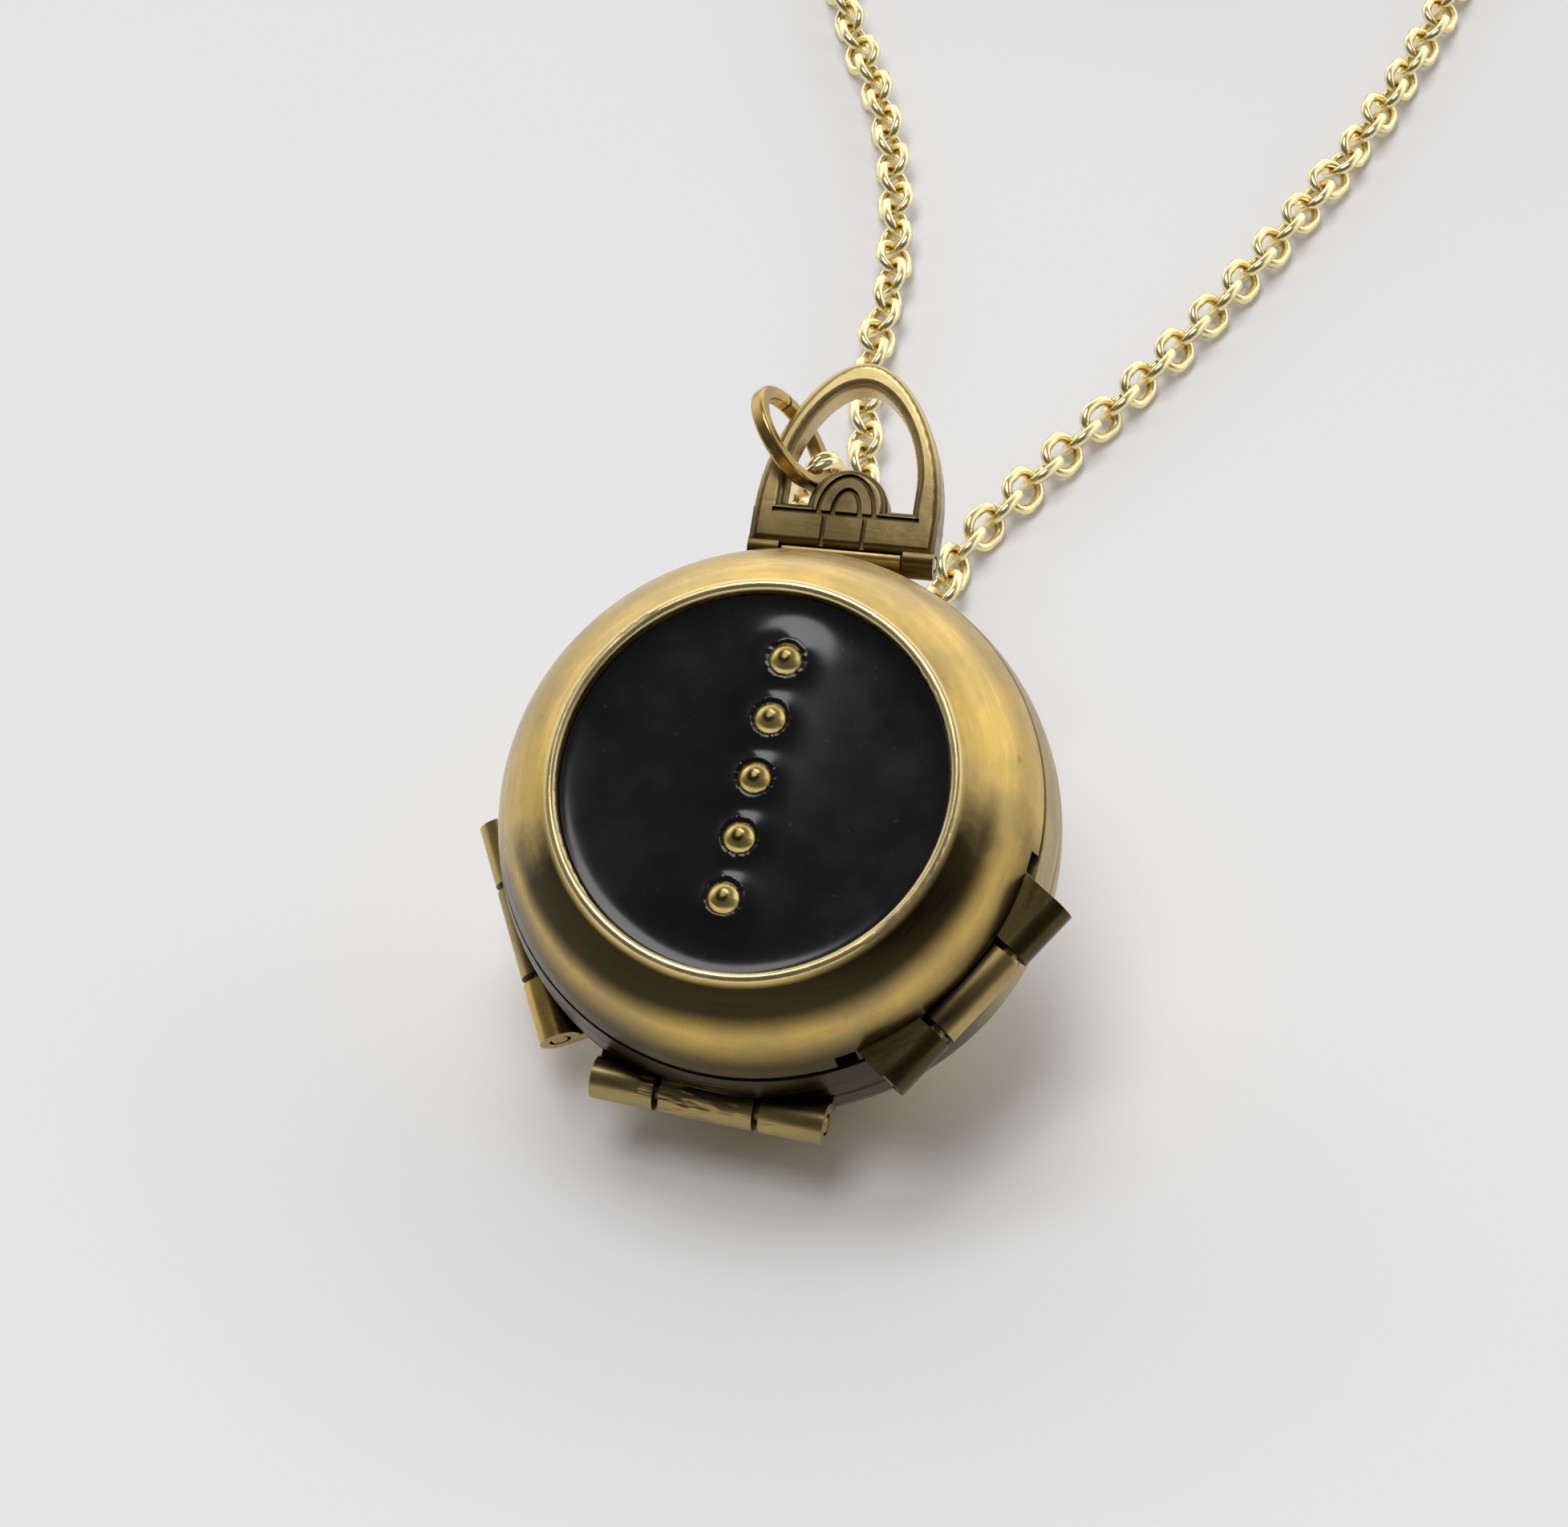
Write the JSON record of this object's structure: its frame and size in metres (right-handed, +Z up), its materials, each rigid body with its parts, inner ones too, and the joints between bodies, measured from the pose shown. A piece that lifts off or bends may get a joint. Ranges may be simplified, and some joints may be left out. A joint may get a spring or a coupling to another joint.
{
  "type": "ball locket",
  "caption": "Ball locket on a fine chain; its leaves unfold on alternating hinges to show photo recesses behind windows. Enamelled front with raised beads, hinged bail.",
  "frame": {"origin": "middle of the bottom of the locket without its chain, on the surface it lies on", "axes": "+Z up from that surface; +Y from the bottom hinge towards the bail and the chain; +X across the locket, to the right when it is seen from its front with the bail away from the viewer"},
  "size_m": [0.0339, 0.1376, 0.0193],
  "materials": {
    "back_shell": "antique brass, brushed, dark in the hollows",
    "front_shell": "antique brass, brushed, with a polished lip",
    "tray": "plain pressed brass",
    "leaf": "antique brass, brushed rims",
    "hinge_pin": "drawn wire",
    "retaining_ring": "satin",
    "lug": "antique brass, dark",
    "bail_pin": "drawn wire",
    "bail": "antique brass, rubbed edges, dark grooves",
    "jump_ring": "drawn wire, bright on its crests",
    "bead": "polished",
    "chain": "bright gold-coloured plating",
    "clasp": "bright gold-coloured plating",
    "enamel": "glossy black resin enamel",
    "window": "clear",
    "photo": "blank matt card"
  },
  "bodies": {
    "root": {"back_shell": "back_shell", "back_tray": "tray", "back_photo": "photo", "back_window": "window", "back_retaining_ring": "retaining_ring", "hinge_a_pin": "hinge_pin", "bail_lug": "lug", "bail_pin": "bail_pin", "chain_left": "chain", "chain_right": "chain", "chain_left_coil": "chain", "chain_right_coil": "chain", "clasp_body": "clasp", "clasp_link": "chain", "chain_end_ring": "chain"},
    "rear_leaf": {"rear_leaf_frame": "leaf", "rear_leaf_back_photo": "photo", "rear_leaf_back_window": "window", "rear_leaf_back_retaining_ring": "retaining_ring", "rear_leaf_front_photo": "photo", "rear_leaf_front_window": "window", "rear_leaf_front_retaining_ring": "retaining_ring", "hinge_b_pin": "hinge_pin"},
    "front_leaf": {"front_leaf_frame": "leaf", "front_leaf_back_photo": "photo", "front_leaf_back_window": "window", "front_leaf_back_retaining_ring": "retaining_ring", "front_leaf_front_photo": "photo", "front_leaf_front_window": "window", "front_leaf_front_retaining_ring": "retaining_ring", "hinge_c_pin": "hinge_pin"},
    "front_cover": {"front_shell": "front_shell", "front_tray": "tray", "front_photo": "photo", "front_window": "window", "front_retaining_ring": "retaining_ring", "enamel_inlay": "enamel", "bead_1": "bead", "bead_2": "bead", "bead_3": "bead", "bead_4": "bead", "bead_5": "bead"},
    "bail": {"bail": "bail"},
    "jump_ring": {"jump_ring": "jump_ring"},
    "clasp_bolt": {"clasp_bolt": "clasp"}
  },
  "joints": [
    {"name": "rear_leaf_hinge", "type": "hinge", "parent": "root", "child": "rear_leaf", "pos_m": [-0.00853, -0.00615, 0.00542], "axis": [0.5, -0.718, -0.4843], "range_deg": [0, 115]},
    {"name": "front_leaf_hinge", "type": "hinge", "parent": "rear_leaf", "child": "front_leaf", "pos_m": [0, -0.01167, 0.00435], "axis": [1, 0, 0], "range_deg": [0, 110]},
    {"name": "front_cover_hinge", "type": "hinge", "parent": "front_leaf", "child": "front_cover", "pos_m": [0.00853, -0.00861, 0.00907], "axis": [0.5, 0.718, 0.4843], "range_deg": [0, 150]},
    {"name": "bail_hinge", "type": "hinge", "parent": "root", "child": "bail", "pos_m": [-0.00069, 0.00666, 0.01479], "axis": [0.9954, 0.0795, 0.0536], "range_deg": [0, 80]},
    {"name": "jump_ring_swing", "type": "hinge", "parent": "bail", "child": "jump_ring", "pos_m": [-0.00366, 0.01004, 0.01707], "axis": [0.239, 0.805, 0.543], "range_deg": [-25, 25]},
    {"name": "clasp_bolt_hinge", "type": "hinge", "parent": "root", "child": "clasp_bolt", "pos_m": [-0.009, 0.0844, 0.00075], "axis": [0, 0, 1], "range_deg": [0, 42], "stiffness_Nm_per_rad": 0.002, "springref_deg": -20.05}
  ]
}
